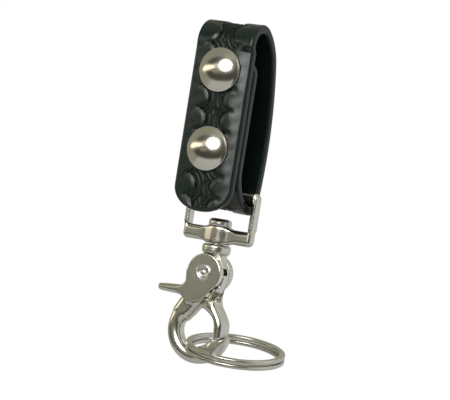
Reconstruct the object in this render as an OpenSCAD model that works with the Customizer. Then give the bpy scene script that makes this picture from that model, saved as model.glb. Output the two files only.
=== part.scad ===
// Belt key clip: a snap-up leather belt loop with a square-eye swivel scissor hook and a split key ring.
// Millimetres. X runs across the strap, Y from the snapped front to the back, Z up.
// The origin is the centre of the slot that the belt passes through.

/* [Leather strap] */
// Width of the strap
strap_w = 22.2; // [18:0.1:26]
// Thickness of the leather
leather_t = 3.2; // [2.4:0.1:3.6]
// Height of the belt slot, from the eye's top bar to the inside of the top bend
slot_h = 56.4; // [52:0.1:62]
// Distance from the slot's centre to the middle of the inner layer
inner_back = 9.2; // [8.4:0.1:10.4]
// Gap that the snaps keep between the flap and the inner layer
snap_gap = 1.8; // [1.6:0.1:2.6]
// Radius of the top bend at mid leather
bend_r = 7.1; // [6:0.1:8]
// Radius of the shoulder behind the top bend at mid leather
shoulder_r = 18.4; // [16:0.1:21]
// Radius of the bowed back at mid leather
back_r = 110; // [95:1:130]
// Angle where the top bend runs into the shoulder
bend_angle = 60; // [56:1:64]
// Angle where the shoulder runs into the back
shoulder_angle = 16; // [14:1:18]
// Clearance of the bottom fold round the eye's top bar
fold_clear = 0.4; // [0.3:0.05:0.8]
// Length of the rounded tip of the flap and of the inner layer
tip_l = 8.5; // [7:0.1:10]
// How far the flap's tip reaches below the middle of the eye's top bar
flap_drop = 7.2; // [5:0.1:8]
// How far the inner layer's tip ends below the middle of the top bend
inner_drop = 1.8; // [1.2:0.1:3]
// Height below the slot's centre where the inner layer starts to curve back
inner_bend_z = 20.8; // [20.6:0.1:21.6]

/* [Snaps] */
// Diameter of the domed cap
cap_d = 15.8; // [14.8:0.1:16.2]
// Height of the cap's dome over its lip
cap_rise = 2.6; // [2.2:0.1:3]
// Thickness of the cap's rolled lip
cap_lip = 1; // [0.8:0.05:1.2]
// Sheet thickness of the snap parts
snap_sheet = 0.5; // [0.4:0.05:0.6]
// Outer diameter of the tube that goes through the leather
snap_post_d = 4; // [3.6:0.1:4.2]
// Outer diameter of the socket
socket_d = 11.6; // [10.8:0.1:12.2]
// Outer diameter of the stud's flange
stud_d = 11; // [10:0.1:11.6]
// Diameter of the stud's nub
nub_d = 5.8; // [5.4:0.1:6.2]
// Height of the nub over its flange
nub_h = 1.5; // [1.3:0.05:1.6]
// Diameter of the eyelet's flange inside the belt slot
eyelet_d = 9.6; // [9:0.1:10.4]
// Distance of the upper snap below the slot's top
snap_up = 15.1; // [14.8:0.1:15.6]
// Height of the lower snap over the slot's bottom
snap_down = 13.2; // [13:0.1:14.2]

/* [Swivel eye] */
// Gap between the strap's edge and each side arm
eye_side_gap = 0.9; // [0.6:0.1:2]
// Width of each side arm
arm_w = 2; // [1.8:0.1:2.4]
// Depth of the eye from front to back
eye_depth = 4.4; // [4:0.1:4.8]
// Height of the top bar that the strap folds round
top_bar_h = 4; // [3.6:0.1:4.4]
// Height of the window between the bars
window_h = 9.9; // [9.4:0.1:12]
// Height of the bottom bar
bottom_bar_h = 5.3; // [4.8:0.1:6]
// Distance of the eye's middle plane behind the slot's centre
eye_back = 3.4; // [3:0.1:3.8]
// Diameter of the barrel in the bottom bar
barrel_d = 7.6; // [7:0.1:8.4]

/* [Swivel] */
// Diameter of the swivel rivet's shank
shank_d = 4; // [3.6:0.1:4.4]
// Diameter of the swivel rivet's head
head_d = 8.4; // [7.6:0.1:9]
// Height of the swivel rivet's head
head_h = 2.7; // [2.4:0.1:3]
// Diameter of the hook's collar
collar_d = 10.4; // [9.6:0.1:11.4]
// Height of the hook's collar
collar_h = 3.5; // [3:0.1:4]
// Radial clearance of a running fit
run_clear = 0.05; // [0.02:0.01:0.09]
// End clearance of a running fit
end_clear = 0.2; // [0.1:0.05:0.3]

/* [Scissor hook] */
// Radius of the round plates at the hook's rivet
disc_r = 6.8; // [6.5:0.1:7.2]
// Thickness of the hook at the rivet
hook_t = 11; // [10.4:0.1:12]
// Thickness of the moving front plate
plate_t = 2.95; // [2.6:0.05:3.2]
// Distance of the rivet to the left of the swivel axis
pivot_left = 1; // [0.6:0.1:1.4]
// Height of the jaws, from the rivet to the bottom of the hook
jaw_h = 33.2; // [32:0.1:36]
// Width of the closed jaws
jaw_w = 24.4; // [23.6:0.1:26]
// Width of the moving jaw's bar
jaw_bar_w = 5.2; // [4.6:0.1:5.6]
// Depth of the moving jaw from front to back
jaw_t = 6.6; // [6:0.1:7.2]
// Depth of the fixed claw from front to back
claw_t = 8; // [7.2:0.1:8.6]
// Gap between the parts of the two jaws
jaw_gap = 0.3; // [0.2:0.05:0.4]
// Length of the thumb tab beyond the front plate
tab_l = 11; // [9:0.1:13]
// Depth of the thumb tab from front to back
tab_t = 5.5; // [4.5:0.1:6.5]
// Diameter of the hook rivet's shank
rivet_d = 3; // [2.6:0.1:3.2]
// Diameter of the hook rivet's ring-shaped head
rivet_head_d = 6.2; // [5.6:0.1:6.8]
// Height of the hook rivet's heads
rivet_head_h = 0.6; // [0.5:0.05:0.8]
// Wire diameter of the torsion spring
spring_wire = 0.6; // [0.5:0.05:0.65]
// Turns of the torsion spring
spring_turns = 2; // [1.5:0.25:2.25]

/* [Split ring] */
// Outer diameter of the split ring
ring_d = 36; // [34:0.1:37.5]
// Radial width of the ring's flat wire
ring_wire_w = 2.3; // [2:0.05:2.5]
// Height of the ring's flat wire
ring_wire_h = 1.5; // [1.3:0.05:1.6]
// Gap between the ring's two turns
ring_coil_gap = 0.45; // [0.42:0.01:0.6]
// Lean of the resting ring, down towards the front
ring_lean = 10; // [7:0.5:12]
// Fall of the resting ring, down away from the hook
ring_fall = 4.5; // [3:0.5:7]

/* [Hidden] */
$fn = 64;
// overrun of every cut
over = 1;
arc_steps = 12;

// strap stations
half_t = leather_t / 2;
bar_z = -slot_h / 2 - top_bar_h / 2;
bend_z = slot_h / 2 - (bend_r - half_t);
flap_y = -inner_back - leather_t - snap_gap;
bend_y = flap_y + bend_r;
shoulder_y = bend_y - (shoulder_r - bend_r) * cos(bend_angle);
shoulder_z = bend_z - (shoulder_r - bend_r) * sin(bend_angle);
back_y = shoulder_y - (back_r - shoulder_r) * cos(shoulder_angle);
back_z = shoulder_z - (back_r - shoulder_r) * sin(shoulder_angle);
flap_tip_z = bar_z - flap_drop;
inner_tip_z = bend_z - inner_drop;

// the bottom fold hugs the top bar, whose corners are rounded
bar_round = 0.38 * min(top_bar_h, eye_depth);
bar_reach = norm([eye_depth / 2 - bar_round, top_bar_h / 2 - bar_round]) + bar_round;
fold_r = bar_reach + fold_clear + half_t;
rise_back = back_z - bar_z;
side_back = back_y + back_r - eye_back;
low_back_r = (pow(side_back, 2) + pow(rise_back, 2) - pow(fold_r, 2)) / (2 * (side_back - fold_r));
low_back_angle = atan2(-rise_back, low_back_r - side_back);
rise_front = -inner_bend_z - bar_z;
side_front = eye_back + inner_back;
sweep_r = (pow(side_front, 2) + pow(rise_front, 2) - pow(fold_r, 2)) / (2 * (side_front - fold_r));
sweep_y = sweep_r - inner_back;
sweep_angle = 180 + atan2(rise_front, sweep_y - eye_back);

// snap stations along Y
snap_z = [slot_h / 2 - snap_up, snap_down - slot_h / 2];
flap_front = flap_y - half_t;
flap_rear = flap_y + half_t;
inner_front = -inner_back - half_t;
inner_rear = -inner_back + half_t;
seat = 1.2 * snap_sheet;
clench = 0.45 * snap_sheet;
snap_air = 0.3;
stud_face = inner_front - 0.5 * snap_sheet;
socket_face = stud_face - snap_air;
socket_back = flap_rear - seat;
socket_hole_d = nub_d + snap_sheet;
post_clear = 0.1;

// swivel stations
eye_w = strap_w + 2 * (eye_side_gap + arm_w);
eye_top = bar_z + top_bar_h / 2;
eye_bottom = eye_top - top_bar_h - window_h - bottom_bar_h;
window_top = eye_top - top_bar_h;
window_low = window_top - window_h;
barrel_top = window_low + 0.08 * bottom_bar_h;
barrel_low = eye_bottom - 0.11 * bottom_bar_h;
collar_top = barrel_low - end_clear;
collar_low = collar_top - collar_h;
pivot_z = collar_low - end_clear - disc_r;
hook_front = eye_back - hook_t / 2;
hook_rear = hook_front + hook_t;
plate_rear = hook_front + plate_t;
plate_air = 0.1;
body_front = plate_rear + plate_air;
neck_r = 0.82 * collar_d / 2;
spring_air = 0.5;
spring_step = spring_wire + spring_air;
pocket_depth = spring_turns * spring_step + spring_wire + 2 * plate_air;
pocket_r = 0.6 * disc_r;
spring_mean_r = (pocket_r + rivet_d / 2) / 2;
jaw_front = eye_back - jaw_t / 2;
claw_front = eye_back - claw_t / 2;

// the moving jaw's ring-shaped bar, about the rivet
jaw_mid_x = -0.025 * jaw_w;
jaw_mid_z = jaw_w / 2 - jaw_h;
jaw_bar_r = (jaw_w - jaw_bar_w) / 2;
// the two jaws part on a round about the rivet, so that one slides under the other
part_r = 0.747 * jaw_h;

// outlines about the rivet, X in shares of the jaws' width and Z in shares of their height
web_shares = [
    [-0.2, -0.15], [0.03, -0.26], [-0.035, -0.36], [-0.13, -0.44], [-0.2, -0.5], [-0.27, -0.545],
    [-0.44, -0.46], [-0.42, -0.385], [-0.36, -0.3], [-0.28, -0.23]
];
claw_inner_shares = [
    [0.03, -0.06], [0.05, -0.265], [0, -0.375], [0.07, -0.405], [0.185, -0.465], [0.238, -0.54],
    [0.252, -0.64], [0.252, -0.8]
];
claw_outer_shares = [
    [0.412, -0.8], [0.412, -0.6], [0.395, -0.505], [0.32, -0.41], [0.25, -0.335], [0.225, -0.255],
    [0.23, -0.15], [0.2, -0.06]
];
// the front plate's foot, below its round
foot_shares = [
    [-0.27, -0.1], [-0.27, -0.26], [-0.36, -0.32], [-0.4, -0.38], [-0.2, -0.43], [-0.035, -0.36],
    [0.03, -0.26], [0.2, -0.138]
];
tab_root_shares = [[-0.3, -0.167], [-0.2, -0.155], [-0.2, -0.28], [-0.3, -0.27]];
tab_top_share = 0.187;
tab_low_share = 0.25;

// ring stations: the wire rests in the lower left corner of the hook's opening
ring_turn_r = (ring_d - ring_wire_w) / 2;
ring_pitch = ring_wire_h + ring_coil_gap;
ring_reach = norm([ring_wire_w / 2, ring_wire_h + ring_coil_gap / 2]);
rest_angle = 243;
rest_r = jaw_bar_r - jaw_bar_w / 2 - ring_reach - 0.5 * jaw_gap;
rest_x = jaw_mid_x + rest_r * cos(rest_angle) - pivot_left;
rest_z = pivot_z + jaw_mid_z + rest_r * sin(rest_angle);
ring_yaw = 6;
ring_steps = 44;

// shared shapes
function arc(y, z, r, from, to) = [
    for (i = [0:arc_steps])
        let (a = from + (to - from) * i / arc_steps)
        [y + r * cos(a), z + r * sin(a)]
];

function curve(points, steps) = [
    for (i = [0:len(points) - 2])
        let (
            p0 = points[max(i - 1, 0)],
            p1 = points[i],
            p2 = points[i + 1],
            p3 = points[min(i + 2, len(points) - 1)]
        )
        for (k = [0:steps - 1])
            let (t = k / steps)
            (2 * p1 + (p2 - p0) * t + (2 * p0 - 5 * p1 + 4 * p2 - p3) * pow(t, 2)
                + (3 * p1 - p0 - 3 * p2 + p3) * pow(t, 3)) / 2,
    points[len(points) - 1]
];

function about_pivot(shares) = [for (s = shares) [s[0] * jaw_w, s[1] * jaw_h]];

// a solid with an XZ outline between two depths
module across(front, rear) {
    translate([0, rear, 0])
        rotate([90, 0, 0])
            linear_extrude(rear - front)
                children();
}

// a solid with a YZ outline over the strap's width
module along_x(width) {
    translate([-width / 2, 0, 0])
        rotate([90, 0, 90])
            linear_extrude(width)
                children();
}

// a turned solid on an axis towards the front, radius against distance in front of y
module turned(x, y, z) {
    translate([x, y, z])
        rotate([90, 0, 0])
            rotate_extrude()
                children();
}

module rod(x, z, d, front, rear) {
    translate([x, rear, z])
        rotate([90, 0, 0])
            cylinder(d = d, h = rear - front);
}

module band(inner, outer) {
    polygon(concat(inner, [for (i = [len(outer) - 1:-1:0]) outer[i]]));
}

// leather layers with a rounded tip, from a square end to the tip
module layer_outline(square_z, tip_z) {
    side = tip_z > square_z ? 1 : -1;
    tip_start = tip_z - side * tip_l;
    polygon(concat(
        [[-strap_w / 2, square_z], [-strap_w / 2, tip_start]],
        [for (i = [1:2 * arc_steps - 1])
            let (a = 180 - 180 * i / (2 * arc_steps))
            [strap_w / 2 * cos(a), tip_start + side * tip_l * sin(a)]],
        [[strap_w / 2, tip_start], [strap_w / 2, square_z]]
    ));
}

module strap_curve() {
    band(
        concat(
            arc(sweep_y, -inner_bend_z, sweep_r - half_t, 180, sweep_angle),
            arc(eye_back, bar_z, fold_r - half_t, sweep_angle, 360 + low_back_angle),
            arc(back_y + back_r - low_back_r, back_z, low_back_r - half_t, low_back_angle, 0),
            arc(back_y, back_z, back_r - half_t, 0, shoulder_angle),
            arc(shoulder_y, shoulder_z, shoulder_r - half_t, shoulder_angle, bend_angle)
        ),
        concat(
            arc(sweep_y, -inner_bend_z, sweep_r + half_t, 180, sweep_angle),
            arc(eye_back, bar_z, fold_r + half_t, sweep_angle, 360 + low_back_angle),
            arc(back_y + back_r - low_back_r, back_z, low_back_r + half_t, low_back_angle, 0),
            arc(back_y, back_z, back_r + half_t, 0, shoulder_angle),
            arc(shoulder_y, shoulder_z, shoulder_r + half_t, shoulder_angle, bend_angle)
        )
    );
}

module strap_main() {
    color([0.05, 0.05, 0.055]) {
        along_x(strap_w)
            strap_curve();
        difference() {
            across(inner_front, inner_rear)
                layer_outline(-inner_bend_z, inner_tip_z);
            for (z = snap_z) {
                rod(0, z, snap_post_d + 2 * post_clear, inner_front - over, inner_rear + over);
                rod(0, z, stud_d + 2 * post_clear, inner_front - over, inner_front + seat);
            }
        }
    }
}

module strap_top_bend() {
    color([0.05, 0.05, 0.055])
        along_x(strap_w)
            band(
                arc(bend_y, bend_z, bend_r - half_t, bend_angle, 180),
                arc(bend_y, bend_z, bend_r + half_t, bend_angle, 180)
            );
}

module strap_flap() {
    color([0.06, 0.06, 0.065])
        difference() {
            across(flap_front, flap_rear)
                layer_outline(bend_z, flap_tip_z);
            for (z = snap_z) {
                rod(0, z, snap_post_d + 2 * post_clear, flap_front - over, flap_rear + over);
                rod(0, z, socket_d + 2 * post_clear, socket_back, flap_rear + over);
            }
        }
}

// a domed shell with a rolled lip and a tube through the leather
module cap(z) {
    lip_r = cap_d / 2;
    dome_r = lip_r - 0.6 * cap_lip;
    top = cap_lip + cap_rise;
    ball = (pow(dome_r, 2) + pow(cap_rise, 2)) / (2 * cap_rise);
    half = asin(dome_r / ball);
    inner_half = asin((dome_r - snap_sheet) / (ball - snap_sheet));
    tube_r = snap_post_d / 2;
    tube_l = leather_t - seat + 2 * clench;
    color([0.72, 0.71, 0.68])
        turned(0, flap_front, z) {
            difference() {
                polygon(concat(
                    [[0, 0], [lip_r - 0.3 * cap_lip, 0], [lip_r, 0.35 * cap_lip], [lip_r, 0.65 * cap_lip],
                        [lip_r - 0.3 * cap_lip, cap_lip]],
                    [for (i = [0:arc_steps])
                        let (a = half * (1 - i / arc_steps))
                        [ball * sin(a), top - ball + ball * cos(a)]]
                ));
                polygon(concat(
                    [[tube_r, -over], [dome_r - snap_sheet, -over]],
                    [for (i = [0:arc_steps - 2])
                        let (a = inner_half * (1 - i / arc_steps))
                        [(ball - snap_sheet) * sin(a), top - ball + (ball - snap_sheet) * cos(a)]],
                    [[tube_r, top - ball + (ball - snap_sheet) * cos(inner_half / arc_steps)]]
                ));
            }
            // the tube, turned out over the socket's back wall
            polygon([
                [0, 0], [0, -snap_sheet], [tube_r - snap_sheet, -snap_sheet], [tube_r - snap_sheet, -tube_l],
                [nub_d / 2, -tube_l], [nub_d / 2, clench - tube_l], [tube_r, clench - tube_l], [tube_r, 0]
            ]);
        }
}

// the female half, let into the back of the flap, with a groove for its spring
module socket(z) {
    rim = socket_d / 2;
    hole = socket_hole_d / 2;
    deep = socket_face - socket_back;
    groove = 0.4 * deep;
    color([0.66, 0.65, 0.62])
        turned(0, socket_face, z)
            polygon([
                [hole, 0], [rim - 0.5 * snap_sheet, 0], [rim, 0.5 * snap_sheet], [rim, deep],
                [snap_post_d / 2, deep], [snap_post_d / 2, deep - clench], [hole, deep - clench],
                [hole, deep / 2 + groove / 2], [hole + snap_sheet, deep / 2 + groove / 2],
                [hole + snap_sheet, deep / 2 - groove / 2], [hole, deep / 2 - groove / 2]
            ]);
}

// the open wire ring that grips the nub inside the socket
module socket_spring(z) {
    hole = socket_hole_d / 2;
    middle = (socket_back + socket_face) / 2;
    color([0.6, 0.6, 0.6])
        translate([0, middle, z])
            rotate([90, 0, 0])
                rotate_extrude(angle = 320)
                    translate([hole + snap_sheet / 2, 0])
                        circle(d = 0.8 * snap_sheet);
}

// the male half: a flange in the inner layer's face and a nub with a neck
module stud(z) {
    flange = stud_d / 2;
    nub = nub_d / 2;
    tube = snap_post_d / 2;
    base = inner_front + seat - stud_face;
    color([0.66, 0.65, 0.62])
        turned(0, inner_front + seat, z)
            polygon([
                [tube - snap_sheet, 0], [flange, 0], [flange, 0.7 * base], [flange - 0.3 * base, base],
                [nub - 0.5 * snap_sheet, base], [nub - 0.5 * snap_sheet, base + 0.4 * nub_h],
                [nub, base + 0.6 * nub_h], [nub - 0.3 * snap_sheet, base + nub_h],
                [tube - snap_sheet, base + nub_h]
            ]);
}

// the eyelet that holds the stud from inside the belt slot
module eyelet(z) {
    tube = snap_post_d / 2;
    flange = eyelet_d / 2;
    color([0.66, 0.65, 0.62])
        turned(0, inner_rear + snap_sheet, z)
            polygon([
                [tube - snap_sheet, 0], [flange - 0.5 * snap_sheet, 0], [flange, 0.5 * snap_sheet],
                [flange, snap_sheet], [tube, snap_sheet], [tube, leather_t + snap_sheet - seat],
                [tube - snap_sheet, leather_t + snap_sheet - seat]
            ]);
}

// a rounded rectangle about its middle
function round_box(w, h, r) = [
    for (corner = [[1, 1, 0], [-1, 1, 90], [-1, -1, 180], [1, -1, 270]])
        for (i = [0:arc_steps / 2])
            let (a = corner[2] + 180 * i / arc_steps)
            [corner[0] * (w / 2 - r) + r * cos(a), corner[1] * (h / 2 - r) + r * sin(a)]
];

module swivel_eye() {
    inside_w = eye_w - 2 * arm_w;
    corner = 0.9 * arm_w;
    all_h = eye_top - eye_bottom;
    color([0.78, 0.77, 0.74])
        difference() {
            union() {
                difference() {
                    across(eye_back - eye_depth / 2, eye_back + eye_depth / 2)
                        translate([0, eye_top - all_h / 2])
                            polygon(round_box(eye_w, all_h, corner));
                    translate([-inside_w / 2, eye_back - eye_depth, window_low])
                        cube([inside_w, 2 * eye_depth, eye_top - window_low + over]);
                }
                along_x(inside_w)
                    translate([eye_back, bar_z])
                        polygon(round_box(eye_depth, top_bar_h, bar_round));
                translate([0, eye_back, barrel_low])
                    cylinder(d = barrel_d, h = barrel_top - barrel_low);
            }
            translate([0, eye_back, barrel_low - over])
                cylinder(d = shank_d + 2 * run_clear, h = barrel_top - barrel_low + 2 * over);
        }
}

module swivel_rivet() {
    head_low = barrel_top + end_clear;
    head_r = head_d / 2;
    color([0.74, 0.73, 0.7])
        translate([0, eye_back, head_low])
            rotate_extrude()
                polygon(concat(
                    [[0, collar_low - head_low], [shank_d / 2, collar_low - head_low], [shank_d / 2, 0]],
                    [[head_r - 0.1 * head_h, 0], [head_r, 0.2 * head_h], [head_r, 0.45 * head_h]],
                    [for (a = [15:15:90])
                        [0.62 * head_r + 0.38 * head_r * cos(a), 0.45 * head_h + 0.55 * head_h * sin(a)]],
                    [[0, head_h]]
                ));
}

// the fixed half: collar, neck, rear plate and claw
module hook_body() {
    collar_r = collar_d / 2;
    neck_low = pivot_z + 0.75 * disc_r;
    slot_z = pivot_z + 0.15 * disc_r;
    color([0.76, 0.75, 0.72])
        difference() {
            union() {
                translate([0, eye_back, neck_low])
                    rotate_extrude()
                        polygon([
                            [0, 0], [neck_r, 0], [neck_r, collar_low - neck_low],
                            [collar_r - 0.2 * collar_h, collar_low - neck_low],
                            [collar_r, collar_low - neck_low + 0.3 * collar_h],
                            [collar_r, collar_low - neck_low + 0.7 * collar_h],
                            [collar_r - 0.25 * collar_h, collar_top - neck_low],
                            [0, collar_top - neck_low]
                        ]);
                rod(-pivot_left, pivot_z, 2 * disc_r, body_front, hook_rear);
                intersection() {
                    across(claw_front, claw_front + claw_t)
                        translate([-pivot_left, pivot_z])
                            polygon(about_pivot(concat(
                                curve(claw_inner_shares, 4), curve(claw_outer_shares, 4)
                            )));
                    rod(-pivot_left, pivot_z, 2 * (part_r - jaw_gap), hook_front, hook_rear);
                }
            }
            // room for the moving plate, its round and its foot
            rod(-pivot_left, pivot_z, 2 * (disc_r + jaw_gap), hook_front - over, body_front);
            across(hook_front - over, body_front)
                translate([jaw_gap - pivot_left, pivot_z - jaw_gap])
                    polygon(about_pivot(foot_shares));
            translate([-disc_r - pivot_left - over, hook_front - over, pivot_z])
                cube([2 * disc_r + 2 * over, body_front - hook_front + over, collar_low - pivot_z]);
            rod(-pivot_left, pivot_z, 2 * pocket_r, body_front - over, body_front + pocket_depth);
            // window where the spring's end shows
            translate([-pivot_left, body_front, slot_z - spring_wire * 2])
                cube([disc_r + over, pocket_depth, spring_wire * 4]);
            rod(-pivot_left, pivot_z, rivet_d, hook_front - over, hook_rear + over);
            translate([0, eye_back, collar_low])
                cylinder(d = shank_d, h = collar_h + over);
        }
}

module pivot_rivet() {
    head_r = rivet_head_d / 2;
    shaft_r = rivet_d / 2;
    color([0.8, 0.79, 0.76])
        turned(-pivot_left, hook_rear + rivet_head_h, pivot_z)
            polygon([
                [0, 0], [head_r - rivet_head_h, 0], [head_r, 0.6 * rivet_head_h], [head_r, rivet_head_h],
                [shaft_r, rivet_head_h], [shaft_r, rivet_head_h + hook_t],
                [head_r, rivet_head_h + hook_t], [head_r, 1.4 * rivet_head_h + hook_t],
                [0.8 * head_r, 2 * rivet_head_h + hook_t], [0.6 * head_r, 1.8 * rivet_head_h + hook_t],
                [0.55 * head_r, 1.2 * rivet_head_h + hook_t], [0, 1.2 * rivet_head_h + hook_t]
            ]);
}

// the moving jaw's bar with rounded edges, from the web round to its parting face
module jaw_bar() {
    bar_from = 128;
    bar_to = 355;
    difference() {
        translate([jaw_mid_x - pivot_left, eye_back, pivot_z + jaw_mid_z])
            rotate([90, 0, 0])
                rotate([0, 0, bar_from])
                    rotate_extrude(angle = bar_to - bar_from)
                        translate([jaw_bar_r, 0])
                            polygon(round_box(jaw_bar_w, jaw_t, 0.42 * jaw_bar_w));
        intersection() {
            rod(-pivot_left, pivot_z, 2 * part_r, hook_front - over, hook_rear + over);
            translate([0, hook_front - over, pivot_z - jaw_h])
                cube([jaw_w, hook_t + 2 * over, jaw_h]);
        }
    }
}

// the moving half: front plate, thumb tab and hooked jaw
module lever_jaw() {
    color([0.7, 0.69, 0.66])
        difference() {
            union() {
                rod(-pivot_left, pivot_z, 2 * disc_r, hook_front, plate_rear);
                across(hook_front, plate_rear)
                    translate([-pivot_left, pivot_z])
                        polygon(about_pivot(foot_shares));
                difference() {
                    union() {
                        across(jaw_front, jaw_front + jaw_t)
                            translate([-pivot_left, pivot_z])
                                polygon(about_pivot(web_shares));
                        jaw_bar();
                        across(hook_front, hook_front + tab_t)
                            translate([-pivot_left, pivot_z])
                                polygon(concat(
                                    about_pivot(tab_root_shares),
                                    [[-disc_r - 0.96 * tab_l, -tab_low_share * jaw_h],
                                        [-disc_r - tab_l, -(tab_low_share + tab_top_share) / 2 * jaw_h],
                                        [-disc_r - 0.97 * tab_l, -tab_top_share * jaw_h]]
                                ));
                    }
                    rod(-pivot_left, pivot_z, 2 * (disc_r + jaw_gap), plate_rear, hook_rear + over);
                }
            }
            rod(-pivot_left, pivot_z, rivet_d + 2 * run_clear, hook_front - over, plate_rear + over);
        }
}

// a tube of a given section along rings that a function places
module swept(rings, sides) {
    count = len(rings);
    polyhedron(
        [for (ring = rings) each ring],
        concat(
            [[for (s = [sides - 1:-1:0]) s]],
            [for (i = [0:count - 2])
                for (s = [0:sides - 1])
                    let (a = i * sides + s, b = i * sides + (s + 1) % sides)
                    each [[a, b, b + sides], [a, b + sides, a + sides]]],
            [[for (s = [0:sides - 1]) (count - 1) * sides + s]]
        )
    );
}

// least distance between the points of one turn and those of the next, near the same bearing
function least_gap(rings, steps) = min([
    for (i = [0:len(rings) - 1])
        for (j = [max(i + steps - 3, 0):min(i + steps + 3, len(rings) - 1)])
            for (p = rings[i])
                for (q = rings[j])
                    norm(p - q)
]);

spring_steps = 24;
spring_rings = [
    for (i = [0:spring_steps * spring_turns])
        let (a = 360 * i / spring_steps)
        [for (s = [0:5])
            let (q = spring_mean_r + spring_wire / 2 * cos(60 * s))
            [q * cos(a), q * sin(a), spring_step * i / spring_steps + spring_wire / 2 * sin(60 * s)]]
];
echo(spring_least_gap = least_gap(spring_rings, spring_steps));

module torsion_spring() {
    color([0.55, 0.55, 0.56])
        translate([-pivot_left, body_front + pocket_depth - spring_wire / 2 - plate_air, pivot_z])
            rotate([90, 0, 0])
                swept(spring_rings, 6);
}

// a flat wire with eased edges: it climbs by one wire where its two ends leave room
climb_shares = [0.87, 0.99];
wire_turns = 1.85;
function ring_height(turn) =
    ring_pitch * min(1, max(0, (turn - climb_shares[0]) / (climb_shares[1] - climb_shares[0])));
ring_section = [
    for (corner = [[1, 1], [-1, 1], [-1, -1], [1, -1]])
        each corner[0] * corner[1] > 0
            ? [[corner[0] * ring_wire_w / 2, corner[1] * ring_wire_h * 0.2],
                [corner[0] * ring_wire_w * 0.25, corner[1] * ring_wire_h / 2]]
            : [[corner[0] * ring_wire_w * 0.25, corner[1] * ring_wire_h / 2],
                [corner[0] * ring_wire_w / 2, corner[1] * ring_wire_h * 0.2]]
];
ring_rings = [
    for (i = [0:wire_turns * ring_steps])
        let (a = 360 * i / ring_steps, h = ring_height(i / ring_steps) - ring_pitch / 2)
        [for (p = ring_section) [(ring_turn_r + p[0]) * cos(a), (ring_turn_r + p[0]) * sin(a), h + p[1]]]
];
echo(ring_least_gap = least_gap(ring_rings, ring_steps));

module split_ring() {
    color([0.8, 0.79, 0.75])
        translate([rest_x, eye_back, rest_z])
            rotate([ring_lean, ring_fall, 0])
                rotate([0, 0, ring_yaw])
                    translate([ring_turn_r, 0, 0])
                        rotate([0, 0, 60])
                            swept(ring_rings, 8);
}

strap_main();
strap_top_bend();
strap_flap();
cap(snap_z[0]);  // cap_upper
cap(snap_z[1]);  // cap_lower
socket(snap_z[0]);  // socket_upper
socket(snap_z[1]);  // socket_lower
socket_spring(snap_z[0]);  // socket_spring_upper
socket_spring(snap_z[1]);  // socket_spring_lower
stud(snap_z[0]);  // stud_upper
stud(snap_z[1]);  // stud_lower
eyelet(snap_z[0]);  // eyelet_upper
eyelet(snap_z[1]);  // eyelet_lower
swivel_eye();
swivel_rivet();
hook_body();
pivot_rivet();
torsion_spring();
lever_jaw();
split_ring();
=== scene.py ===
import math

import bmesh
import bpy
import numpy as np
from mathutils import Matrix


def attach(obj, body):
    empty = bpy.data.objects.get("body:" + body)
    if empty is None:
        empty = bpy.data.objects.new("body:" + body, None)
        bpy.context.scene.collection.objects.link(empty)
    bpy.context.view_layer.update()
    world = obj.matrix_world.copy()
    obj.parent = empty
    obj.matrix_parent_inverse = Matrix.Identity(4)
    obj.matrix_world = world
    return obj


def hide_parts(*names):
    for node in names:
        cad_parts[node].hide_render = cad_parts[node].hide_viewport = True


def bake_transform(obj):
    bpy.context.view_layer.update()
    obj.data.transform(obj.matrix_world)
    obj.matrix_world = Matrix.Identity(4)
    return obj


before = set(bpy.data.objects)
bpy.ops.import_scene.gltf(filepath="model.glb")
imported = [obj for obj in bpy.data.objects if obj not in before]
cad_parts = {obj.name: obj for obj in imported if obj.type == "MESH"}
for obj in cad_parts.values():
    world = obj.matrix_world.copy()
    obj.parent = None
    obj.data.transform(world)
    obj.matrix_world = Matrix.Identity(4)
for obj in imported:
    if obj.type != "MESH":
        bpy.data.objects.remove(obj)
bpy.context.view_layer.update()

import openvdb as vdb
from mathutils import Matrix, Vector

mm = 0.001

# Shared measures in millimetres, the same as in the part's own frame
strap = {
    "width": 22.2, "thick": 3.2, "slotHeight": 56.4, "innerBack": 9.2, "snapGap": 1.8,
    "bendRadius": 7.1, "shoulderRadius": 18.4, "backRadius": 110, "bendAngle": 60,
    "shoulderAngle": 16, "foldClear": 0.4, "tipLength": 8.5, "flapDrop": 7.2,
    "innerDrop": 1.8, "innerBend": 20.8,
}
snap = {
    "places": {"upper": 13.1, "lower": -15}, "capWidth": 15.8, "rise": 2.6, "lip": 1,
    "sheet": 0.5, "post": 4, "nub": 5.8, "seat": 0.6, "clench": 0.225,
}
# barrelOver and barrelUnder are shares of the bottom bar, barRound one of the top bar
eye = {
    "sideGap": 0.9, "arm": 2, "depth": 4.4, "topBar": 4, "window": 9.9, "bottomBar": 5.3,
    "middle": 3.4, "barrel": 7.6, "barrelOver": 0.08, "barrelUnder": 0.11, "barRound": 0.38,
}
swivel = {
    "shank": 4, "head": 8.4, "headHeight": 2.7, "collar": 10.4, "collarHeight": 3.5, "gap": 0.2,
    "run": 0.05,
}
# jawLeft is a share of the width, partShare one of the height, pocketShare one of the disc
hook = {
    "disc": 6.8, "depth": 11, "plate": 2.95, "plateGap": 0.1, "left": 1, "height": 33.2,
    "width": 24.4, "barWidth": 5.2, "jawDepth": 6.6, "clawDepth": 8, "gap": 0.3, "tab": 11,
    "tabDepth": 5.5, "rivet": 3, "rivetHead": 6.2, "rivetRise": 0.6, "wire": 0.6, "turns": 2,
    "wireGap": 0.5, "jawLeft": 0.025, "partShare": 0.747, "pocketShare": 0.6,
}

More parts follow.
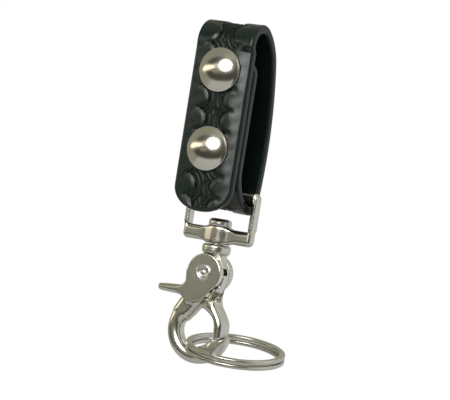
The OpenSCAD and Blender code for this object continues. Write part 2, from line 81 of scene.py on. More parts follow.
# Stations that follow from them
halfThick = strap["thick"] / 2
halfWide = strap["width"] / 2
barZ = -strap["slotHeight"] / 2 - eye["topBar"] / 2
bendZ = strap["slotHeight"] / 2 - (strap["bendRadius"] - halfThick)
flapY = -strap["innerBack"] - strap["thick"] - strap["snapGap"]
bendY = flapY + strap["bendRadius"]
flapTip = barZ - strap["flapDrop"]
innerTip = bendZ - strap["innerDrop"]
flapFront = flapY - halfThick

barRound = eye["barRound"] * eye["topBar"]
eyeWide = strap["width"] + 2 * (eye["sideGap"] + eye["arm"])
eyeTop = barZ + eye["topBar"] / 2
windowLow = eyeTop - eye["topBar"] - eye["window"]
eyeLow = windowLow - eye["bottomBar"]
barrelTop = windowLow + eye["barrelOver"] * eye["bottomBar"]
barrelLow = eyeLow - eye["barrelUnder"] * eye["bottomBar"]
collarTop = barrelLow - swivel["gap"]
collarLow = collarTop - swivel["collarHeight"]

pivotX = -hook["left"]
discR = hook["disc"]
pivotZ = collarLow - swivel["gap"] - discR
middleY = eye["middle"]
hookFront = middleY - hook["depth"] / 2
hookRear = hookFront + hook["depth"]
plateRear = hookFront + hook["plate"]
bodyFront = plateRear + hook["plateGap"]
coilStep = hook["wire"] + hook["wireGap"]
pocketDeep = hook["turns"] * coilStep + hook["wire"] + 2 * hook["plateGap"]
jawX = pivotX - hook["jawLeft"] * hook["width"]
jawZ = pivotZ + hook["width"] / 2 - hook["height"]
halfBar = hook["barWidth"] / 2
jawRadius = hook["width"] / 2 - halfBar
partRadius = hook["partShare"] * hook["height"]


# Camera, room and lamps

camera = {
    "place": (0.3174, -0.6263, -0.0371), "aim": (0.00223, -0.00042, -0.0319),
    "lean": 9, "lens": 156.2, "clip": (0.01, 20),
}
# front and side give the colours that metal mirrors, from straight down or away (0)
# to straight up or towards (1); frontReach is flattened from front to back
room = {
    "floorZ": -0.25, "floorSize": 0.7, "floorColour": 0.3, "floorGlow": 0.86, "floorMirror": 0.33,
    "fill": 0.24, "frontTurn": -2, "frontRise": 0.06, "frontReach": (1, 1000, 0.74),
    "frontFade": [(0.9, 1), (0.98, 0)], "frontStart": [(0.5, 0), (0.55, 1)],
    "front": [
        (0.16, (0.51, 0.53, 0.43)), (0.23, (0.06, 0.06, 0.045)), (0.45, (0.06, 0.052, 0.038)),
        (0.56, (0.085, 0.09, 0.065)), (0.83, (0.09, 0.1, 0.075)), (0.9, (0.36, 0.37, 0.32))],
    "sideToward": (0.75, 0.3, -0.35),
    "side": [(0.1, (0.34, 0.34, 0.27)), (0.55, (0.5, 0.5, 0.44)), (0.82, (0.74, 0.74, 0.76))],
}
# name, azimuth, rise, distance, size, tilt, power, colour, shape
lamps = [
    ("keyLamp", 6, 22, 0.9, (0.68, 0.6), 0, 7, (1, 0.99, 0.97), "ELLIPSE"),
    ("stripLamp", -60, 7, 1, (1, 0.24), 9, 1.15, (1, 0.88, 0.7), "ELLIPSE"),
    ("panelLamp", -25, -3, 1.4, (0.74, 0.3), 0, 0.13, (0.95, 1, 0.86), "ELLIPSE"),
    ("softLamp", -27, 15, 1, (0.6, 0.28), 14, 0.3, (1, 0.97, 0.92), "ELLIPSE"),
    ("topLamp", 150, 60, 1.2, (0.8, 0.8), 0, 1.6, (1, 1, 1), "RECTANGLE"),
]


def feed(tree, node, inputs):
    # each input gets another node's output, a colour or a value
    for key, value in inputs.items():
        socket = node.inputs[key]
        if isinstance(value, bpy.types.NodeSocket):
            tree.links.new(value, socket)
        else:
            socket.default_value = (*value, 1) if socket.type == "RGBA" else value


def addNode(tree, kind, inputs, **settings):
    node = tree.nodes.new("ShaderNode" + kind)
    for name, value in settings.items():
        setattr(node, name, value)
    feed(tree, node, inputs)
    return node


def addNoise(tree, scale, detail, rough=0.5):
    place = addNode(tree, "TexCoord", {}).outputs["Object"]
    values = {"Vector": place, "Scale": scale, "Detail": detail, "Roughness": rough}
    return addNode(tree, "TexNoise", values).outputs["Fac"]


def addRamp(tree, source, stops):
    ramp = addNode(tree, "ValToRGB", {"Fac": source})
    elements = ramp.color_ramp.elements
    while len(elements) < len(stops):
        elements.new(0.5)
    for element, (position, colour) in zip(elements, stops):
        element.position = position
        element.color = (*colour, 1)
    return ramp.outputs["Color"]


def addGreys(tree, source, stops):
    return addRamp(tree, source, [(position, (grey,) * 3) for position, grey in stops])


def addMix(tree, fac, first, second):
    return addNode(tree, "Mix", {"Factor": fac, 6: first, 7: second}, data_type="RGBA").outputs[2]


def addMath(tree, operation, *values):
    return addNode(tree, "Math", dict(enumerate(values)), operation=operation).outputs[0]


def addDot(tree, source, toward):
    # 0 away from a direction, 1 towards it
    values = {0: source, 1: Vector(toward).normalized()}
    dot = addNode(tree, "VectorMath", values, operation="DOT_PRODUCT").outputs["Value"]
    return addMath(tree, "MULTIPLY_ADD", dot, 0.5, 0.5)


def addBackground(tree, colour, strength=1):
    return addNode(tree, "Background", {"Color": colour, "Strength": strength}).outputs[0]


def addShaderMix(tree, fac, first, second):
    return addNode(tree, "MixShader", {"Fac": fac, 1: first, 2: second}).outputs[0]


def seenRays(tree):
    # glossy rays alone, then camera, glossy and see-through rays together
    rays = addNode(tree, "LightPath", {}).outputs
    direct = addMath(tree, "MAXIMUM", rays["Is Camera Ray"], rays["Is Glossy Ray"])
    return rays["Is Glossy Ray"], addMath(tree, "MAXIMUM", direct, rays["Is Transmission Ray"])


def addObject(name, data):
    item = bpy.data.objects.new(name, data)
    bpy.context.scene.collection.objects.link(item)
    return item


def makeCamera():
    place, aim = Vector(camera["place"]), Vector(camera["aim"])
    ahead = (aim - place).normalized()
    right = ahead.cross(Vector((0, 0, 1))).normalized()
    up = right.cross(ahead)
    lean = math.radians(camera["lean"])
    leanRight = right * math.cos(lean) + up * math.sin(lean)
    leanUp = up * math.cos(lean) - right * math.sin(lean)
    data = bpy.data.cameras.new("camera")
    data.lens = camera["lens"]
    data.clip_start, data.clip_end = camera["clip"]
    item = addObject("camera", data)
    turn = Matrix((leanRight, leanUp, -ahead)).transposed().to_4x4()
    item.matrix_world = Matrix.Translation(place) @ turn
    bpy.context.scene.camera = item


def makeLamp(name, azimuth, rise, away, size, tilt, power, colour, shape):
    turn, rise = math.radians(azimuth), math.radians(rise)
    back = Vector((math.sin(turn) * math.cos(rise), -math.cos(turn) * math.cos(rise), math.sin(rise)))
    data = bpy.data.lights.new(name, "AREA")
    data.shape = shape
    data.size, data.size_y = size
    data.energy = power
    data.color = colour
    item = addObject(name, data)
    item.location = back * away + Vector(camera["aim"])
    item.rotation_mode = "QUATERNION"
    turned = Matrix.Rotation(math.radians(tilt), 3, "Z").to_quaternion()
    item.rotation_quaternion = back.to_track_quat("Z", "Y") @ turned


def makeRoom():
    # metal mirrors a dim front and pale sides; the camera sees plain white
    world = bpy.data.worlds.new("room")
    bpy.context.scene.world = world
    world.use_nodes = True
    tree = world.node_tree
    tree.nodes.clear()
    glossy, seen = seenRays(tree)
    place = addNode(tree, "TexCoord", {}).outputs["Generated"]
    turn = math.radians(room["frontTurn"])
    front = addRamp(tree, addDot(tree, place, (0, 0, 1)), room["front"])
    side = addRamp(tree, addDot(tree, place, room["sideToward"]), room["side"])
    reach = {
        "Vector": place, "Location": (0, 0, room["frontRise"]), "Rotation": (0, 0, turn),
        "Scale": room["frontReach"]}
    oval = addNode(tree, "Mapping", reach, vector_type="TEXTURE").outputs["Vector"]
    spread = addNode(tree, "VectorMath", {0: oval}, operation="LENGTH").outputs["Value"]
    within = addGreys(tree, spread, room["frontFade"])
    ahead = addDot(tree, place, (math.sin(turn), -math.cos(turn), 0))
    both = addMath(tree, "MULTIPLY", within, addGreys(tree, ahead, room["frontStart"]))
    mirror = addBackground(tree, addMix(tree, both, side, front))
    fill = addBackground(tree, (1, 1, 1), room["fill"])
    shown = addShaderMix(tree, glossy, addBackground(tree, (1, 1, 1)), mirror)
    addNode(tree, "OutputWorld", {"Surface": addShaderMix(tree, seen, fill, shown)})


def makeFloor():
    half = room["floorSize"] / 2
    corners = [(-half, -half), (half, -half), (half, half), (-half, half)]
    mesh = bpy.data.meshes.new("floor")
    mesh.from_pydata([(x, y, room["floorZ"]) for x, y in corners], [], [(0, 1, 2, 3)])
    floor = addObject("floor", mesh)
    material = bpy.data.materials.new("paleFloor")
    material.use_nodes = True
    tree = material.node_tree
    tree.nodes.clear()
    glossy, seen = seenRays(tree)
    matt = addNode(tree, "BsdfDiffuse", {"Color": (room["floorColour"],) * 3}).outputs[0]
    # metal sees the floor's glow dimmer than the camera does
    whole = addMath(tree, "MULTIPLY", seen, room["floorGlow"])
    dim = addMath(tree, "MULTIPLY", glossy, room["floorGlow"] - room["floorMirror"])
    glow = addNode(tree, "Emission", {"Strength": addMath(tree, "SUBTRACT", whole, dim)}).outputs[0]
    addNode(tree, "OutputMaterial", {
        "Surface": addNode(tree, "AddShader", {0: matt, 1: glow}).outputs[0]})
    mesh.materials.append(material)


makeCamera()
for lamp in lamps:
    makeLamp(*lamp)
makeRoom()
makeFloor()
bpy.context.scene.view_settings.view_transform = "Standard"
print("camera, room and lamps are ready")


# Finishes

# inside is painted shade: the flesh side shows only inside the loop and behind the flap, so its colour is
# darkened for that shade; its rough, dull finish is the leather's own
leatherLook = {
    "grain": (0.003, 0.009, 0.006), "pressed": (0.002, 0.008, 0.005), "edge": (0.008, 0.017, 0.014),
    "inside": (0.001, 0.006, 0.003), "cloudLift": 1.5, "cloudScale": 190, "poreScale": 2600,
    "poreRough": 0.6, "poreDepth": 0.00003, "poreStrength": 0.5,
    "rough": [(0.3, 0.22), (0.7, 0.29)], "pressedRough": 0.42, "insideRough": 0.75,
    "edgeBand": [(0.1, 0), (0.35, 1), (0.65, 1), (0.9, 0)], "insideBand": [(0.65, 0), (0.9, 1)],
    "gloss": {"leather": 0.5, "leatherInside": 0.1, "leatherPressed": 0.22},
}
metalGrain = {"cloudScale": 140, "fineScale": 1800, "clouds": (0.3, 0.75), "depth": 0.00002}
# colour, worn colour, roughness, how much it varies, and the grain's bump
metalLooks = {
    "capNickel": ((0.66, 0.64, 0.57), (0.6, 0.58, 0.51), 0.18, 0.04, 0.04),
    "castNickel": ((0.66, 0.65, 0.58), (0.57, 0.56, 0.48), 0.2, 0.08, 0.05),
    "ringSteel": ((0.6, 0.59, 0.53), (0.48, 0.47, 0.42), 0.25, 0.04, 0.01),
    "snapSteel": ((0.62, 0.6, 0.55), (0.5, 0.48, 0.43), 0.25, 0.06, 0.04),
    "rivetSteel": ((0.66, 0.65, 0.6), (0.57, 0.56, 0.51), 0.27, 0.06, 0.04),
    "springSteel": ((0.42, 0.42, 0.42), (0.34, 0.34, 0.33), 0.3, 0.05, 0.04),
}


def startMaterial(name):
    material = bpy.data.materials.new(name)
    material.use_nodes = True
    return material, material.node_tree, material.node_tree.nodes["Principled BSDF"]


def readAttribute(tree, name):
    return addNode(tree, "Attribute", {}, attribute_name=name).outputs["Fac"]


def addBump(tree, source, strength, distance):
    values = {"Height": source, "Strength": strength, "Distance": distance}
    return addNode(tree, "Bump", values).outputs["Normal"]


def makeLeather(name):
    look = leatherLook
    material, tree, shader = startMaterial(name)
    press, side = readAttribute(tree, "press"), readAttribute(tree, "side")
    clouds = addNoise(tree, look["cloudScale"], 4)
    pores = addNoise(tree, look["poreScale"], 3, look["poreRough"])
    lighter = tuple(look["cloudLift"] * c for c in look["grain"])
    pressed = addMix(tree, press, addMix(tree, clouds, look["grain"], lighter), look["pressed"])
    edge = addGreys(tree, side, look["edgeBand"])
    inner = addGreys(tree, side, look["insideBand"])
    rough = addMix(tree, press, addGreys(tree, clouds, look["rough"]), (look["pressedRough"],) * 3)
    # the flesh side takes the inside colour, which is painted shade, and a rougher finish
    feed(tree, shader, {
        "Base Color": addMix(tree, inner, addMix(tree, edge, pressed, look["edge"]), look["inside"]),
        "Roughness": addMix(tree, inner, rough, (look["insideRough"],) * 3),
        "Specular IOR Level": look["gloss"][name],
        "Normal": addBump(tree, pores, look["poreStrength"], look["poreDepth"])})
    return material


def makeMetal(name):
    bright, worn, rough, brush, bump = metalLooks[name]
    material, tree, shader = startMaterial(name)
    clouds = addNoise(tree, metalGrain["cloudScale"], 3)
    fine = addNoise(tree, metalGrain["fineScale"], 2)
    greys = list(zip(metalGrain["clouds"], (rough - brush / 2, rough + brush)))
    feed(tree, shader, {
        "Base Color": addMix(tree, clouds, bright, worn), "Metallic": 1,
        "Roughness": addGreys(tree, clouds, greys),
        "Normal": addBump(tree, fine, bump, metalGrain["depth"])})
    return material


leathers = {name: makeLeather(name) for name in leatherLook["gloss"]}
metals = {name: makeMetal(name) for name in metalLooks}
print("finishes are ready")


# Shared mesh work

def addPiece(name, points, faces, material):
    mesh = bpy.data.meshes.new(name)
    mesh.from_pydata(points, [], faces)
    mesh.validate()
    mesh.update()
    smoothFaces(mesh)
    mesh.materials.append(material)
    return addObject(name, mesh)


def smoothFaces(mesh):
    mesh.polygons.foreach_set("use_smooth", [True] * len(mesh.polygons))


def takePlace(piece, body, node):
    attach(piece, body)
    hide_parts(node)


def ringFaces(rows, count, capStart=True, capEnd=True):
    # quads between closed rings of count points each
    faces = []
    for i in range(rows - 1):
        for k in range(count):
            a, b = i * count + k, i * count + (k + 1) % count
            faces.append((a, b, b + count, a + count))
    if capStart:
        faces.append(tuple(range(count - 1, -1, -1)))
    if capEnd:
        faces.append(tuple((rows - 1) * count + k for k in range(count)))
    return faces


def flipOutward(piece):
    # turn the faces outward by the sign of the volume
    mesh = piece.data
    mesh.calc_loop_triangles()
    places = np.array([v.co for v in mesh.vertices])
    corners = places[np.array([t.vertices for t in mesh.loop_triangles])]
    volume = np.einsum("ij,ij->i", corners[:, 0], np.cross(corners[:, 1], corners[:, 2])).sum()
    if volume < 0:
        mesh.flip_normals()
    return piece


def softStep(low, high, value):
    t = np.clip((value - low) / (high - low), 0, 1)
    return t * t * (3 - 2 * t)


# Leather strap: one strip in three pieces, stamped on its grain side

stamp = {
    "cusp": -1.1, "pitch": 7.8, "lobeOut": 7, "deep": 0.6, "wall": (0.02, 0.32),
    "trench": 0.28, "trenchAt": 0.4, "trenchHalf": 0.3, "ribs": (1.35, 2.9), "ribHalf": 0.75,
    "ribRise": 0.55, "cross": 1.1, "pillow": 0.2, "roundIn": 1.5, "groove": (6.2, 8.2),
}
# nearEdge holds the first columns at each edge, as shares of half the width
strip = {
    "rowStep": 0.25, "tipRows": 40, "outerColumns": 84, "innerColumns": 24, "nearGap": 0.1092,
    "nearEdge": [0, 0.003, 0.011, 0.023, 0.038, 0.056, 0.078], "edge": 0.75, "border": (0.7, 1.9),
    "edgeTone": (0.15, 0.8), "fleshSink": 0.03, "waveRise": 0.04,
    "waves": [(0.025, 0.9, 0.37), (0.015, -0.5, 1.3)], "weld": 0.000002, "thin": 0.000001, "crease": 62,
    "finishes": [("press", 0.6, 1), ("side", 0.3, 1), ("side", 0.95, 2)], "blendLean": (0, -0.6, -0.8),
}
# the flap's sides lean back, the right one more, and most between the snaps
cup = {
    "left": 0.15, "right": 1.35, "more": 0.15, "moreFrom": (-30, -10), "moreTo": (0, 8),
    "fade": (2.4, 0.1), "flat": 4,
}
# radii of the seats' walls; the studs' lie on the inner layer only, in front of innerSide
snapSeats = {"stud": (5.2, 5.45), "socket": (5.4, 5.7), "innerSide": -6}


def strapPath():
    # arcs as centre, radius and angles, walked from the flap's tip up and round to the inner layer's tip
    r, shoulderR, backR = (strap[name + "Radius"] for name in ("bend", "shoulder", "back"))
    bend, shoulder = math.radians(strap["bendAngle"]), math.radians(strap["shoulderAngle"])
    shoulderY = bendY - (shoulderR - r) * math.cos(bend)
    shoulderZ = bendZ - (shoulderR - r) * math.sin(bend)
    backY = shoulderY - (backR - shoulderR) * math.cos(shoulder)
    backZ = shoulderZ - (backR - shoulderR) * math.sin(shoulder)
    barReach = math.hypot(eye["depth"] / 2 - barRound, eye["topBar"] / 2 - barRound) + barRound
    fold = barReach + strap["foldClear"] + halfThick
    rise, side = backZ - barZ, backY + backR - middleY
    lowBack = (side ** 2 + rise ** 2 - fold ** 2) / (2 * (side - fold))
    lowAngle = math.atan2(-rise, lowBack - side)
    riseFront, sideFront = -strap["innerBend"] - barZ, middleY + strap["innerBack"]
    sweep = (sideFront ** 2 + riseFront ** 2 - fold ** 2) / (2 * (sideFront - fold))
    sweepY = sweep - strap["innerBack"]
    sweepAngle = math.pi + math.atan2(riseFront, sweepY - middleY)
    flap = [("line", flapY, flapTip, bendZ)]
    top = [("arc", bendY, bendZ, r, math.pi, bend)]
    loop = [
        ("arc", shoulderY, shoulderZ, shoulderR, bend, shoulder),
        ("arc", backY, backZ, backR, shoulder, 0),
        ("arc", backY + backR - lowBack, backZ, lowBack, 0, lowAngle),
        ("arc", middleY, barZ, fold, 2 * math.pi + lowAngle, sweepAngle),
        ("arc", sweepY, -strap["innerBend"], sweep, sweepAngle, math.pi),
        ("line", -strap["innerBack"], -strap["innerBend"], innerTip),
    ]
    return flap, top, loop


def walkPath(parts, start):
    # middle of the leather, its outward side and the distance walked, at even steps
    rows = []
    walked = start
    for index, part in enumerate(parts):
        if part[0] == "line":
            length = part[3] - part[2]
        else:
            length = part[3] * (part[4] - part[5])
        count = max(2, round(length / strip["rowStep"]))
        for i in range(0 if index == 0 else 1, count + 1):
            share = i / count
            if part[0] == "line":
                rows.append((part[1], part[2] + length * share, -1, 0, walked + length * share))
            else:
                a = part[4] + (part[5] - part[4]) * share
                rows.append((part[1] + part[3] * math.cos(a), part[2] + part[3] * math.sin(a),
                             math.cos(a), math.sin(a), walked + length * share))
        walked += length
    return rows, walked


def placeOnLine(rows, v):
    # a station by its walked distance, on the straight end of the strip
    near = min(rows, key=lambda row: abs(row[4] - v))
    return (near[0], near[1] + v - near[4], near[2], near[3], v)


def crowdTips(rows, tipStart, tipEnd):
    # closer rows towards a rounded tip
    length, count = strap["tipLength"], strip["tipRows"]
    if tipStart:
        near = rows[0][4] + length
        tips = [near - length * math.sin(a) for a in np.linspace(math.pi / 2, 0, count)[:-1]]
        rows = [placeOnLine(rows, v) for v in tips] + [row for row in rows if row[4] >= near]
    if tipEnd:
        near = rows[-1][4] - length
        tips = [near + length * math.sin(a) for a in np.linspace(0, math.pi / 2, count)[1:]]
        rows = [row for row in rows if row[4] <= near] + [placeOnLine(rows, v) for v in tips]
    return rows


def columnShares(count):
    # closer together near the edges, where the leather is rounded
    near, gap = strip["nearEdge"], strip["nearGap"]
    middle = list(np.linspace(-1 + gap, 1 - gap, count))
    return np.array([-1 + n for n in near] + middle + [1 - n for n in reversed(near)])


def edgeDrop(shares, wide, into):
    # across the strip: place, distance from the edge, and the drop of the rounded edge
    tip, radius = strap["tipLength"], strip["edge"]
    u = wide * shares[None, :]
    rho = np.sqrt((u / halfWide) ** 2 + into ** 2)
    slope = np.sqrt((u / halfWide ** 2) ** 2 + (into / tip) ** 2) / np.maximum(rho, 1e-6)
    inset = np.where(rho > 0.05, (1 - rho) / np.maximum(slope, 1e-6), halfWide)
    inset = np.maximum(inset, 0)
    d = np.clip(inset, 0, radius)
    return u, inset, radius - np.sqrt(np.maximum(radius ** 2 - (radius - d) ** 2, 0))


def ribHeight(reach, wide):
    return np.max([np.clip(1 - ((reach - r) / wide) ** 2, 0, 1) for r in stamp["ribs"]], axis=0)


def stampDepth(u, v):
    # smooth round lobes along both borders, and woven ribs that follow them pressed in between
    out = np.abs(u)
    cusp = np.round((v - stamp["cusp"]) / stamp["pitch"])
    near = v - stamp["cusp"] - cusp * stamp["pitch"]
    half = stamp["pitch"] / 2
    inside = np.minimum(out - stamp["lobeOut"], 0)
    above = np.hypot(inside, half - near) - half
    below = np.hypot(inside, half + near) - half
    reach = np.minimum(above, below)
    band = softStep(*stamp["wall"], reach)
    overAbove = (cusp + (u > 0)) % 2 == 0
    over, under = np.where(overAbove, above, below), np.where(overAbove, below, above)
    top, low = (ribHeight(side, stamp["ribHalf"]) for side in (over, under))
    ribs = np.maximum(top, low * (1 - ribHeight(over, stamp["cross"])))
    trench = np.exp(-((reach - stamp["trenchAt"]) / stamp["trenchHalf"]) ** 2) * stamp["trench"]
    pillow = stamp["pillow"] * (1 - softStep(0, stamp["roundIn"], -reach))
    pillow = pillow * (1 - softStep(*stamp["groove"], out)) * (1 - band)
    return band * (stamp["deep"] * (1 - stamp["ribRise"] * ribs) + trench + stamp["pillow"]) + pillow, band


def softWave(u, v):
    # soft leather is never quite flat
    return strip["waveRise"] + sum(rise * np.sin(u * a + v * b) for rise, a, b in strip["waves"])


def flapCup(name, u, v):
    if name == "strapLoop":
        return np.zeros_like(u + v)
    most = cup["right"] + cup["more"] * softStep(*cup["moreFrom"], v) * (1 - softStep(*cup["moreTo"], v))
    fade = 1 - softStep(bendZ - cup["fade"][0], bendZ - cup["fade"][1], v)
    out = np.maximum(np.abs(u) - cup["flat"], 0) / (halfWide - cup["flat"])
    return np.where(u > 0, most, cup["left"]) * fade * out ** 2


def seatDepth(u, along, limits):
    # shallow round seats for the snaps' discs
    seat = np.zeros_like(u + along)
    for place in snap["places"].values():
        seat = seat + snap["seat"] * (1 - softStep(*limits, np.hypot(u, along - place)))
    return seat


def layStrip(name, rows, tipStart=False, tipEnd=False):
    first, last, tip = rows[0][4], rows[-1][4], strap["tipLength"]
    table = np.array(crowdTips(rows, tipStart, tipEnd))
    y, z, ny, nz, v = (table[:, i:i + 1] for i in range(5))
    count = len(table)
    into = np.zeros_like(v)
    if tipStart:
        into = np.clip((first + tip - v) / tip, 0, 1)
    if tipEnd:
        into = np.clip((v - last + tip) / tip, 0, 1)
    wide = halfWide * np.sqrt(np.maximum(1 - into ** 2, 0))

    u, inset, drop = edgeDrop(columnShares(strip["outerColumns"]), wide, into)
    depth, band = stampDepth(u, v)
    border = softStep(*strip["border"], inset)
    if name == "strapLoop":
        depth = depth + seatDepth(u, z, snapSeats["stud"]) * (y < snapSeats["innerSide"])
    height = halfThick - drop - (depth + softWave(u, v)) * border - flapCup(name, u, v)

    uIn, insetIn, dropIn = edgeDrop(columnShares(strip["innerColumns"])[::-1], wide, into)
    sink = strip["fleshSink"] * softStep(*strip["border"], insetIn)
    heightIn = -halfThick + dropIn + sink - flapCup(name, uIn, v)
    if name == "strapFlap":
        heightIn = heightIn + seatDepth(uIn, v, snapSeats["socket"])

    # once round: the grain side, one edge, the flesh side, the other edge
    across = np.concatenate([u, wide, uIn, -wide], axis=1)
    high = np.concatenate([height, -flapCup(name, wide, v), heightIn, -flapCup(name, -wide, v)], axis=1)
    points = np.stack([across, y + ny * high, z + nz * high], axis=2) * mm
    none = np.zeros((count, 1))
    press = np.concatenate([band * border, none, np.zeros_like(uIn), none], axis=1)
    edgeOut = 0.5 * (1 - softStep(*strip["edgeTone"], inset))
    edgeIn = 1 - 0.5 * (1 - softStep(*strip["edgeTone"], insetIn))
    side = np.concatenate([edgeOut, none + 0.5, edgeIn, none + 0.5], axis=1)
    faces = ringFaces(count, across.shape[1], not tipStart, not tipEnd)
    piece = addPiece(name, points.reshape(-1, 3).tolist(), faces, leathers["leather"])
    for label, values in (("press", press), ("side", side)):
        attribute = piece.data.attributes.new(label, "FLOAT", "POINT")
        attribute.data.foreach_set("value", values.reshape(-1).astype(np.float32))
    weldPiece(piece)
    finishFaces(piece)
    return flipOutward(piece)


def weldPiece(piece):
    work = bmesh.new()
    work.from_mesh(piece.data)
    bmesh.ops.remove_doubles(work, verts=work.verts, dist=strip["weld"])
    bmesh.ops.dissolve_degenerate(work, edges=work.edges, dist=strip["thin"])
    work.to_mesh(piece.data)
    work.free()
    smoothFaces(piece.data)
    piece.data.set_sharp_from_angle(angle=math.radians(strip["crease"]))


def finishFaces(piece):
    # the pressed parts and the cut edges have a duller finish, and the flesh side the dullest
    for name in ("leatherPressed", "leatherInside"):
        piece.data.materials.append(leathers[name])
    values = np.zeros(len(piece.data.vertices), dtype=np.float32)
    for label, limit, index in strip["finishes"]:
        piece.data.attributes[label].data.foreach_get("value", values)
        for face in piece.data.polygons:
            if min(values[k] for k in face.vertices) > limit:
                face.material_index = index


def makeStrap():
    flapParts, topParts, loopParts = strapPath()
    flapRows, walked = walkPath(flapParts, flapTip)
    topRows, walked = walkPath(topParts, walked)
    loopRows, walked = walkPath(loopParts, walked)
    flap = layStrip("strapFlap", flapRows, tipStart=True)
    top = layStrip("strapTopBend", topRows)
    loop = layStrip("strapLoop", loopRows, tipEnd=True)
    takePlace(flap, "flap", "strap_flap")
    takePlace(loop, "strap", "strap_main")
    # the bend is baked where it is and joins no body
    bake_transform(top)
    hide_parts("strap_top_bend")


makeStrap()
print("the strap is ready")


# Turned pieces

def turnPiece(name, profile, origin, axis, material, sides=96):
    # profile of (radius, distance along the axis); ends on the axis are closed with fans,
    # the one at the start wound against the rest
    axis = Vector(axis)
    side = axis.orthogonal().normalized()
    other = axis.cross(side)
    points, faces, rings = [], [], []
    for radius, along in profile:
        middle = Vector(origin) + axis * along
        if radius < 1e-6:
            rings.append([len(points)] * sides)
            points.append(tuple(middle * mm))
            continue
        rings.append(range(len(points), len(points) + sides))
        for i in range(sides):
            a = 2 * math.pi * i / sides
            points.append(tuple((middle + (side * math.cos(a) + other * math.sin(a)) * radius) * mm))
    for one, two in zip(rings, rings[1:]):
        for i in range(sides):
            j = (i + 1) % sides
            if one[i] == one[j]:
                faces.append((one[i], two[i], two[j]))
            elif two[i] == two[j]:
                faces.append((one[i], one[j], two[i]))
            else:
                faces.append((one[i], one[j], two[j], two[i]))
    return flipOutward(addPiece(name, points, faces, material))


def roundCorner(before, corner, after, radius, steps=5):
    # points of a rounded corner between two straight runs of a profile
    a, b, c = (Vector(p) for p in (before, corner, after))
    cut = min(radius, (a - b).length * 0.49, (c - b).length * 0.49)
    start, end = b + (a - b).normalized() * cut, b + (c - b).normalized() * cut
    path = []
    for i in range(steps + 1):
        t = i / steps
        path.append(tuple(start * (1 - t) ** 2 + b * 2 * t * (1 - t) + end * t ** 2))
    return path


def easeProfile(points, radius):
    eased = [points[0]]
    for before, corner, after in zip(points, points[1:], points[2:]):
        eased += roundCorner(before, corner, after, radius)
    return eased + [points[-1]]


# domeIn, rimIn, rimLow and rimHigh are shares of the lip
cap = {
    "sides": 128, "domeSteps": 26, "domeIn": 0.6, "rimIn": 0.3, "rimLow": 0.35, "rimHigh": 0.65,
    "rimRound": 0.34, "tubeRound": 0.08, "lift": 0.02,
}


def makeCap(label, place):
    # a domed shell with a rolled rim, and its tube through the leather
    lip, sheet = snap["lip"], snap["sheet"]
    rim, dome = snap["capWidth"] / 2, snap["capWidth"] / 2 - cap["domeIn"] * lip
    top = lip + snap["rise"]
    ball = (dome ** 2 + snap["rise"] ** 2) / (2 * snap["rise"])
    half = math.asin(dome / ball)
    tube, nub = snap["post"] / 2, snap["nub"] / 2
    low = -(strap["thick"] - snap["seat"] + 2 * snap["clench"])
    crown = []
    for i in range(cap["domeSteps"] + 1):
        a = half * (1 - i / cap["domeSteps"])
        crown.append((ball * math.sin(a), top - ball + ball * math.cos(a)))
    edge = easeProfile([
        (tube, cap["lift"]), (rim - cap["rimIn"] * lip, cap["lift"]), (rim, cap["rimLow"] * lip),
        (rim, cap["rimHigh"] * lip), crown[0], crown[2]], cap["rimRound"])
    under = easeProfile([
        (0, low + sheet), (tube - sheet, low + sheet), (tube - sheet, low), (nub, low),
        (nub, low + snap["clench"]), (tube, low + snap["clench"]), (tube, cap["lift"])], cap["tubeRound"])
    profile = under[:-1] + edge[:-1] + crown[2:-1] + [(0, top)]
    piece = turnPiece(
        "cap_" + label, profile, (0, flapFront, place), (0, -1, 0), metals["capNickel"], cap["sides"])
    takePlace(piece, "flap", "cap_" + label)


for label, place in snap["places"].items():
    makeCap(label, place)

# the swivel rivet's head in shares of its radius or height; crownStart is an angle, round a measure
rivetHead = {
    "under": 0.1, "rimLow": 0.2, "rimHigh": 0.42, "crownIn": 0.62, "crownLow": 0.45, "crownStart": 0.1,
    "flat": 0.3, "round": 0.2, "steps": 12,
}


def makeSwivelRivet():
    low = barrelTop + swivel["gap"]
    r, h, shank = swivel["head"] / 2, swivel["headHeight"], swivel["shank"] / 2
    inset, rise = rivetHead["crownIn"], rivetHead["crownLow"]
    crown = [(inset * r + (1 - inset) * r * math.cos(a), rise * h + (1 - rise) * h * math.sin(a))
             for a in np.linspace(rivetHead["crownStart"], math.pi / 2, rivetHead["steps"])]
    profile = easeProfile([
        (0, collarLow - low), (shank, collarLow - low), (shank, 0),
        (r - rivetHead["under"] * h, 0), (r, rivetHead["rimLow"] * h), (r, rivetHead["rimHigh"] * h)],
        rivetHead["round"])
    profile += crown + [(rivetHead["flat"] * r, h), (0, h)]
    piece = turnPiece("swivelRivet", profile, (0, middleY, low), (0, 0, 1), metals["rivetSteel"])
    takePlace(piece, "hook", "swivel_rivet")


# the hook rivet's front head from rim to dimple, and its rear rim, in shares of its radius and rise
pivotHead = {
    "front": [
        (1, 0.45), (0.82, 1), (0.68, 0.9), (0.52, 0.3), (0.3, 0.12), (0.14, 0.5), (0, 0.55)],
    "rear": 0.6, "gap": 0.04, "round": 0.25,
}


def makePivotRivet():
    r, rise, shaft = hook["rivetHead"] / 2, hook["rivetRise"], hook["rivet"] / 2
    front = rise + hook["depth"]
    profile = easeProfile([
        (0, 0), (r - rise, 0), (r, pivotHead["rear"] * rise), (r, rise), (shaft, rise),
        (shaft, front + pivotHead["gap"]), (r, front + pivotHead["gap"])]
        + [(r * out, front + rise * up) for out, up in pivotHead["front"]], pivotHead["round"])
    piece = turnPiece(
        "pivotRivet", profile, (pivotX, hookRear + rise, pivotZ), (0, -1, 0), metals["rivetSteel"])
    takePlace(piece, "hook", "pivot_rivet")


makeSwivelRivet()
makePivotRivet()
print("the caps and rivets are ready")


# Cast pieces, formed as distance fields and read off as meshes

